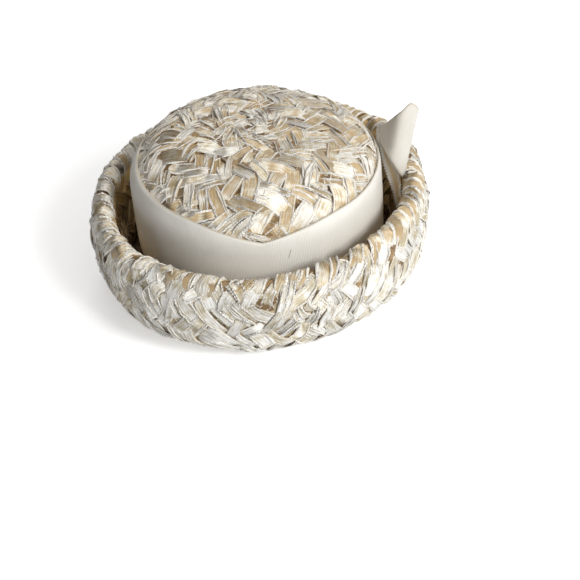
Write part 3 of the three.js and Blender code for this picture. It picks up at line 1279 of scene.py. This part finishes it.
@dataclass
class Bow:
    """The folded loop, the tail and the knot at the wearer's left."""

    loop_top: list[list[float]] = field(default_factory=lambda: [
        [89.9, KNOT_FACE_Y, 93.5], [103.0, -5.5, 111.4], [110.0, -2, 114.6],
        [115.6, 4, 105.4], [105.5, 9, 103], [92.4, KNOT_FACE_Y, 92],
    ])
    loop_bottom: list[list[float]] = field(default_factory=lambda: [
        [89.9, KNOT_FACE_Y, 81.5], [94.4, -12, 76.6], [103.2, -13, 61.7],
        [104.4, -7, 62.8], [99.2, 0, 71], [92.4, KNOT_FACE_Y, 82.5],
    ])
    tail_left: list[list[float]] = field(default_factory=lambda: [
        [89.4, KNOT_FACE_Y, 79], [90.6, 0, 69], [93.6, -5, 58.5], [96.6, -8.5, 48.5], [98.7, -12, 37],
    ])
    tail_right: list[list[float]] = field(default_factory=lambda: [
        [93.4, KNOT_FACE_Y, 78], [97.4, 1, 67], [101.6, -2, 59.5], [102.8, -6, 50.5], [101.4, -11.5, 38],
    ])
    trough: float = 1.7
    ply: float = 1.5
    teeth: int = 22
    tooth_depth: float = 1.7
    knot_size: tuple[float, float, float] = (5.6, 10.0, 18.0)
    knot_middle: tuple[float, float, float] = (90.8, 11.0, 83.0)

    def loop_place(self, along: Array, across: Array) -> Array:
        """Gives the points of the loop."""
        top, bottom = rail(self.loop_top)(along), rail(self.loop_bottom)(along)
        return top + (bottom - top) * across[:, None]

    def tail_place(self, along: Array, across: Array) -> Array:
        """Gives the points of the tail, a pinked end folded in two that hangs as a shallow trough.

        Args:
            along: Shares of the length, from the knot down.
            across: Shares of the folded width.

        Returns:
            The points, in mm.
        """
        left, right = (rail(line)(along) for line in (self.tail_left, self.tail_right))
        sideways = right - left
        outwards = sideways / np.linalg.norm(sideways, axis=1, keepdims=True)
        behind = np.maximum(0.0, 2 * across - 1)
        share = np.minimum(1.0, 2 * across) - 0.95 * behind
        depth = self.trough * np.sin(np.pi * share) + self.ply * smoothstep(behind, 0.0, 0.3)
        tooth = 2 * np.abs(np.mod(along * self.teeth, 1.0) - 0.5) - 0.5
        notch = self.tooth_depth * tooth * np.abs(2 * share - 1) ** 6 * np.sign(2 * share - 1)
        back = np.array([0.1, 0.93, -0.35])
        return left + sideways * share[:, None] + outwards * notch[:, None] + back * depth[:, None]

    def knot(self, material: Material) -> Object:
        """Makes the knot as a rounded wrap.

        Args:
            material: The finish.

        Returns:
            The new object.
        """
        shape = bmesh.new()
        bmesh.ops.create_cube(shape, size=1.0)
        bmesh.ops.subdivide_edges(shape, edges=shape.edges, cuts=5, use_grid_fill=True)
        for point in shape.verts:
            out = Vector((point.co.x, point.co.y, point.co.z * 0.75)).normalized()
            point.co = point.co.lerp(out * 0.62, 0.6)
            point.co.x *= 1.0 + 0.12 * math.sin(point.co.z * 16.0)
            point.co.y *= 1.0 + 0.10 * math.sin(point.co.z * 16.0)
        bmesh.ops.scale(shape, verts=shape.verts, vec=[part * MM for part in self.knot_size])
        bmesh.ops.translate(shape, verts=shape.verts, vec=[part * MM for part in self.knot_middle])
        mesh = mesh_of(shape, "bow_wrap")
        mesh.shade_smooth()
        places = np.array([point.co[:] for point in mesh.vertices])
        set_uv(mesh, places[:, 2], places[:, 1])
        piece = new_mesh_object("bow_wrap", mesh)
        mesh.materials.append(material)
        smooth = piece.modifiers.new("smooth", "SUBSURF")
        smooth.levels = smooth.render_levels = 1
        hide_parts("bow_knot")
        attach(piece, BODY)
        return piece

    def build(self, material: Material, end_material: Material) -> list[Object]:
        """Makes the three pieces of the bow.

        Args:
            material: Finish of the loop and the knot.
            end_material: Finish of the tail.

        Returns:
            The pieces.
        """
        loop = RibbonSheet("bow_ear", self.loop_place, 60, 14, (0.034, 0.064), rests_on=("bow_knot",))
        tail = RibbonSheet("bow_end", self.tail_place, 132, 24, (0.016, 0.048), thickness=0.5,
                           rests_on=("bow_knot",))
        return [loop.build(material, "bow_loop"), tail.build(end_material, "bow_tail"), self.knot(material)]


def woven(name: str, surface: Surface, strips: Strips, under: Strips | None, material: Material,
          rng: np.random.Generator, seed: int, cord_size: float = 1.0, **shape: float) -> list[Object]:
    """Makes strips with the ones under them and their corded edges.

    Args:
        name: Start of the pieces' names.
        surface: What they lie on.
        strips: The strips on top.
        under: The strips that pass under them, where there are any.
        material: The finish.
        rng: Source of the small irregularities.
        seed: Seed of the first piece.
        cord_size: Thickness of the cords against the usual.
        shape: Fields of the layers that differ from the usual.

    Returns:
        The pieces.
    """
    cords, cord_side = cords_of(strips, rng)
    cords.width = cords.width * cord_size
    cord_layer = StripLayer(f"{name}_cords", surface, Form.CORD, rows=9, seed=seed + 1, wander=0.16,
                            **shape)
    pieces = [
        StripLayer(f"{name}_strips", surface, seed=seed, **shape).build(strips, material),
        cord_layer.build(cords, material, cord_side),
    ]
    if under is not None:
        low_layer = StripLayer(f"{name}_low_strips", surface, rows=5, seed=seed + 2, dip=0.5, rumple=0.06,
                               camber=0.1)
        pieces.append(low_layer.build(under, material))
    return pieces


@dataclass
class StrawCrown:
    """The woven dome and side wall."""

    outside: CrownSurface
    inside: CrownSurface
    visible_run: float = 118.0
    centre: float = 13.0
    lifts: tuple[float, ...] = (0.1, 0.5, 0.7, 0.7)

    def build(self, material: Material) -> list[Object]:
        """Makes the strips and cords outside and inside.

        Args:
            material: The finish.

        Returns:
            The pieces.
        """
        rng = np.random.default_rng(11)
        edges = np.linspace(self.centre, self.visible_run, len(self.lifts) + 1)
        rounds = [
            Plait(start, stop, pitch=9.4, stray=0.24, width_share=1.22, lift=lift, light=0.5, longest=4,
                  curl=1.5).strips(self.outside, rng)
            for start, stop, lift in zip(edges[:-1], edges[1:], self.lifts)
        ]
        strips = Strips.joined([top for top, _ in rounds] + [self._rosette(rng)])
        behind_left = 0.5 + 0.5 * np.cos(strips.angle + 0.75 * math.pi)
        strips = split_some(strips, self.outside, rng, 0.2 + 0.5 * behind_left)
        strips = Strips.joined([strips, loose_over(strips, rng, 0.12)])
        low = Strips.joined([under for _, under in rounds])
        pieces = woven("crown", self.outside, strips, low, material, rng, 21)
        edges = np.linspace(10.0, self.inside.outline.length - 4.0, 8)
        lining = [Plait(a, b, pitch=9.5, lift=0.5, light=0.4).strips(self.inside, rng)[0]
                  for a, b in zip(edges[:-1], edges[1:])]
        lining.append(self._rosette(rng))
        layer = StripLayer("crown_inner_strips", self.inside, seed=25)
        pieces.append(layer.build(Strips.joined(lining), material))
        return pieces

    def _rosette(self, rng: np.random.Generator) -> Strips:
        """Gives the strips that close the middle of the dome.

        Args:
            rng: Source of the small irregularities.

        Returns:
            The strips.
        """
        count = 9
        angle = np.arange(count) / count * 2 * math.pi + rng.normal(size=count) * 0.2
        return Strips(
            angle=angle,
            run=6.0 + 4.0 * rng.random(count),
            heading=0.6 + 0.5 * rng.normal(size=count),
            length=17.0 + 4.0 * rng.random(count),
            width=6.0 + 2.0 * rng.random(count),
            lift=0.2 + 0.3 * rng.normal(size=count),
            tone=np.clip(0.5 + 0.25 * rng.normal(size=count), 0.0, 1.0),
            bow=rng.normal(size=count) * 0.9,
            lean=rng.normal(size=count) * 0.07,
        )


@dataclass
class StrawBrim:
    """The woven brim: its underside, its outer wall, the rolled edge and its inner wall."""

    surface: BrimSurface
    wraps: int = 72

    def build(self, material: Material, edge_material: Material,
              inner_material: Material) -> list[Object]:
        """Makes the strips, the wraps over the rolled edge and the cords.

        Args:
            material: Finish of the outer wall and the underside.
            edge_material: Finish of the rolled edge.
            inner_material: Finish of the inner wall.

        Returns:
            The pieces.
        """
        rng = np.random.default_rng(12)
        edge = self.surface.edge_run
        whole = self.surface.outline.length
        wall = Plait(22.0, edge - 4.0, pitch=8.6, light=0.72, width_share=1.2, lift=0.65, grouping=1.2,
                     slant=1.15, longest=6, curl=2.2)
        outer, low = wall.strips(self.surface, rng)
        outer = split_some(outer, self.surface, rng, 0.35)
        outer = Strips.joined([outer, loose_over(outer, rng, 0.12)])
        foot = Plait(2.5, 22.0, pitch=9.2, lift=0.05, lift_spread=0.1, light=0.5)
        under, _ = foot.strips(self.surface, rng)
        # The inner wall's strips get low tones, some just below 0, so the straw finish darkens them towards
        # painted shade.
        inner, _ = Plait(edge + 6.0, whole - 4.0, pitch=9.2, light=0.2).strips(self.surface, rng)
        inner.tone = np.clip(inner.tone - 0.1, -0.1, 1.0)
        pieces = woven("brim_outer", self.surface, outer, low, material, rng, 31)
        wraps = self._wraps(rng)
        pieces += woven("brim_edge", self.surface, wraps, None, edge_material, rng, 41, 1.45, camber=1.3)
        pieces += woven("brim_inner", self.surface, inner, None, inner_material, rng, 51)
        layer = StripLayer("brim_under_strips", self.surface, seed=61, dip=1.0, rumple=0.06, camber=0.2)
        pieces.append(layer.build(under, material))
        return pieces

    def _wraps(self, rng: np.random.Generator) -> Strips:
        """Gives the strips that go slantwise over the rolled edge.

        Args:
            rng: Source of the small irregularities.

        Returns:
            The strips.
        """
        count = self.wraps
        angle = (np.arange(count) + 0.25 * rng.normal(size=count)) / count * 2 * math.pi
        return Strips(
            angle=angle,
            run=self.surface.edge_run + 0.5 + 1.2 * rng.normal(size=count),
            heading=1.12 + 0.12 * rng.normal(size=count),
            length=29.0 + 3.0 * rng.normal(size=count),
            width=8.6 + 1.4 * rng.normal(size=count),
            lift=0.7 + 0.3 * rng.normal(size=count),
            # Tone falls towards the bow's side: painted shade there and painted light on the far side,
            # evening out the key light on the rolled edge.
            tone=np.clip(0.34 - 0.28 * np.sin(angle) + 0.2 * rng.normal(size=count), 0.0, 1.0),
            bow=rng.normal(size=count) * 0.9,
            lean=rng.normal(size=count) * 0.07,
        )


@dataclass(frozen=True)
class Studio:
    """The camera at the photograph's angle, the pale floor and the soft light."""

    elevation: float = 33.5
    roll: float = 5.4
    distance: float = 0.740
    target_z: float = 0.052
    focal_px: float = 1023.0
    target_px: tuple[float, float] = (258.0, 193.0)
    frame_px: float = 580.0
    sensor: float = 36.0
    world_left: float = 0.02
    world_right: float = 0.6
    warm_fill: Rgba = (1.0, 0.80, 0.58, 1.0)

    def camera(self) -> None:
        """Places the camera so that the hat's middle falls where the photograph has it."""
        rise, roll = math.radians(self.elevation), math.radians(self.roll)
        back = Vector((0.0, -math.cos(rise), math.sin(rise)))
        right = Vector((1.0, 0.0, 0.0))
        up = back.cross(right)
        across = right * math.cos(roll) - up * math.sin(roll)
        over = right * math.sin(roll) + up * math.cos(roll)
        aimed = Matrix((across, over, back)).transposed()
        half = self.frame_px / 2
        aside, above = self.target_px[0] - half, half - self.target_px[1]
        wanted = Vector((aside / self.focal_px, above / self.focal_px, -1.0))
        turn = wanted.normalized().rotation_difference(Vector((0.0, 0.0, -1.0))).to_matrix()
        data = bpy.data.cameras.new("camera")
        data.sensor_width = self.sensor
        data.lens = self.sensor * self.focal_px / self.frame_px
        data.clip_start, data.clip_end = 0.01, 20.0
        camera = bpy.data.objects.new("camera", data)
        place = Vector((0.0, 0.0, self.target_z)) + back * self.distance
        camera.matrix_world = Matrix.Translation(place) @ (aimed @ turn).to_4x4()
        bpy.context.scene.collection.objects.link(camera)
        bpy.context.scene.camera = camera

    def area(self, name: str, place: tuple[float, float, float], size: float, power: float,
             colour: tuple[float, float, float] = (1.0, 1.0, 1.0)) -> None:
        """Adds a square soft light aimed at the hat.

        Args:
            name: Its name.
            place: Where it stands, in metres.
            size: Length of its side, in metres.
            power: Its power, in watts.
            colour: Its colour.
        """
        data = bpy.data.lights.new(name, "AREA")
        data.size = size
        data.energy = power
        data.color = colour
        lamp = bpy.data.objects.new(name, data)
        lamp.location = place
        lamp.rotation_euler = (Vector((0, 0, 0.05)) - Vector(place)).to_track_quat("-Z", "Y").to_euler()
        bpy.context.scene.collection.objects.link(lamp)

    def lights(self) -> None:
        """Adds the key light, the front and back fills and the pale surroundings."""
        self.area("key", (0.82, -0.94, 0.90), 0.42, 14.8, (1.0, 0.995, 0.98))
        self.area("front", (0.42, -1.12, 0.48), 0.7, 2.8, (1.0, 0.99, 0.97))
        self.area("back", (-0.05, 1.15, 0.72), 0.4, 3.9, (1.0, 0.985, 0.96))
        world = bpy.data.worlds.new("studio")
        world.use_nodes = True
        nodes = Nodes(world.node_tree)
        way = nodes.add("ShaderNodeSeparateXYZ", in_0=nodes.add("ShaderNodeTexCoord").outputs["Generated"])
        slope = nodes.plus(way.outputs[0], nodes.times(way.outputs[2], 0.7))
        side = nodes.range(slope, -0.75, 1.15, self.world_left, self.world_right)
        shown = nodes.add("ShaderNodeLightPath").outputs["Is Camera Ray"]
        unseen = nodes.times(side, nodes.less(1.0, shown))
        strength = nodes.plus(unseen, shown)
        tint = nodes.mix(nodes.range(slope, -0.75, 0.7, 0.0, 1.0), self.warm_fill, (1.0, 0.995, 0.98, 1.0))
        colour = nodes.mix(shown, tint, (1.0, 1.0, 1.0, 1.0))
        light = nodes.add("ShaderNodeBackground", in_Color=colour, in_Strength=strength)
        nodes.add("ShaderNodeOutputWorld", in_Surface=light.outputs[0])
        bpy.context.scene.world = world
        bpy.context.scene.view_settings.view_transform = "Standard"
        bpy.context.scene.view_settings.look = "None"

    def floor(self, z: float) -> None:
        """Lays the pale floor at the height of the hat's lowest point.

        Args:
            z: Height of the floor, in metres.
        """
        shape = bmesh.new()
        bmesh.ops.create_circle(shape, cap_ends=True, segments=64, radius=6.0)
        bmesh.ops.translate(shape, verts=shape.verts, vec=(0.0, 0.0, z))
        mesh = mesh_of(shape, "floor")
        floor = new_mesh_object("floor", mesh)
        material, nodes = new_material("floor")
        shown = nodes.add("ShaderNodeLightPath").outputs["Is Camera Ray"]
        glow = nodes.range(shown, 0.0, 1.0, 0.12, 0.42)
        shader = nodes.add("ShaderNodeBsdfPrincipled", in_Base_Color=(0.89, 0.90, 0.92, 1.0),
                           in_Roughness=0.9, in_Specular_IOR_Level=0.1, in_Emission_Strength=glow,
                           in_Emission_Color=(1.0, 1.0, 1.0, 1.0))
        nodes.add("ShaderNodeOutputMaterial", in_Surface=shader.outputs[0])
        mesh.materials.append(material)
        floor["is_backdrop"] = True


def main() -> None:
    """Builds the camera, the hat and its surroundings in order."""
    logging.basicConfig(level=logging.INFO, format="%(message)s")
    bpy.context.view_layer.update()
    studio = Studio()
    studio.camera()
    fibres = fibre_group()
    straw = StrawFinish("straw").material(fibres)
    brim_straw = StrawFinish("straw_brim", (0.47, 0.40, 0.26, 1.0), (0.67, 0.62, 0.50, 1.0),
                             (0.90, 0.90, 0.87, 1.0)).material(fibres)
    # A golden copy of the straw for the brim's inner wall: painted shade with warm bounced light.
    inner_straw = StrawFinish("straw_shaded", (0.70, 0.46, 0.18, 1.0), (0.78, 0.56, 0.27, 1.0),
                              (0.82, 0.64, 0.36, 1.0), (0.80, 0.60, 0.32, 1.0)).material(fibres)
    backing = BackingFinish().material()
    ribbon = RibbonFinish("grosgrain", nick=(450.3, 44.0)).material()
    # A darker copy of the band's grosgrain for the loop and knot: painted shade that tones down the key
    # light on them.
    shaded_bow_ribbon = RibbonFinish("grosgrain_bow_shaded", (0.66, 0.635, 0.585, 1.0), (0.57, 0.54, 0.48, 1.0),
                              width=34.0).material()
    # A brighter, golden copy of the grosgrain for the tail: painted light that lifts it out of the loop's
    # shadow, painted warm shade down its middle, and white pinked edges.
    painted_light_end_ribbon = RibbonFinish("grosgrain_end_painted_light", (0.95, 0.80, 0.55, 1.0), (0.86, 0.64, 0.34, 1.0),
                              (1.0, 0.99, 0.95, 1.0), width=8.0, rim_width=3.6).material()
    for name in ("crown", "brim"):
        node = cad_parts[name]
        node.data.materials.clear()
        node.data.materials.append(backing)
    band = Band(CrownSurface())
    outside = CrownSurface(pressed_below=lambda angle: band.top_z + band.shift(angle))
    pieces = StrawCrown(outside, CrownSurface(inside=True)).build(straw)
    pieces += StrawBrim(BrimSurface()).build(brim_straw, straw, inner_straw)
    pieces += band.build(ribbon)
    pieces += Bow().build(shaded_bow_ribbon, painted_light_end_ribbon)
    for piece in pieces:
        log.info("%s: %d faces", piece.name, len(piece.data.polygons))
    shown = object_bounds()
    studio.floor(shown[0].z)
    studio.lights()


if __name__ == "__main__":
    main()
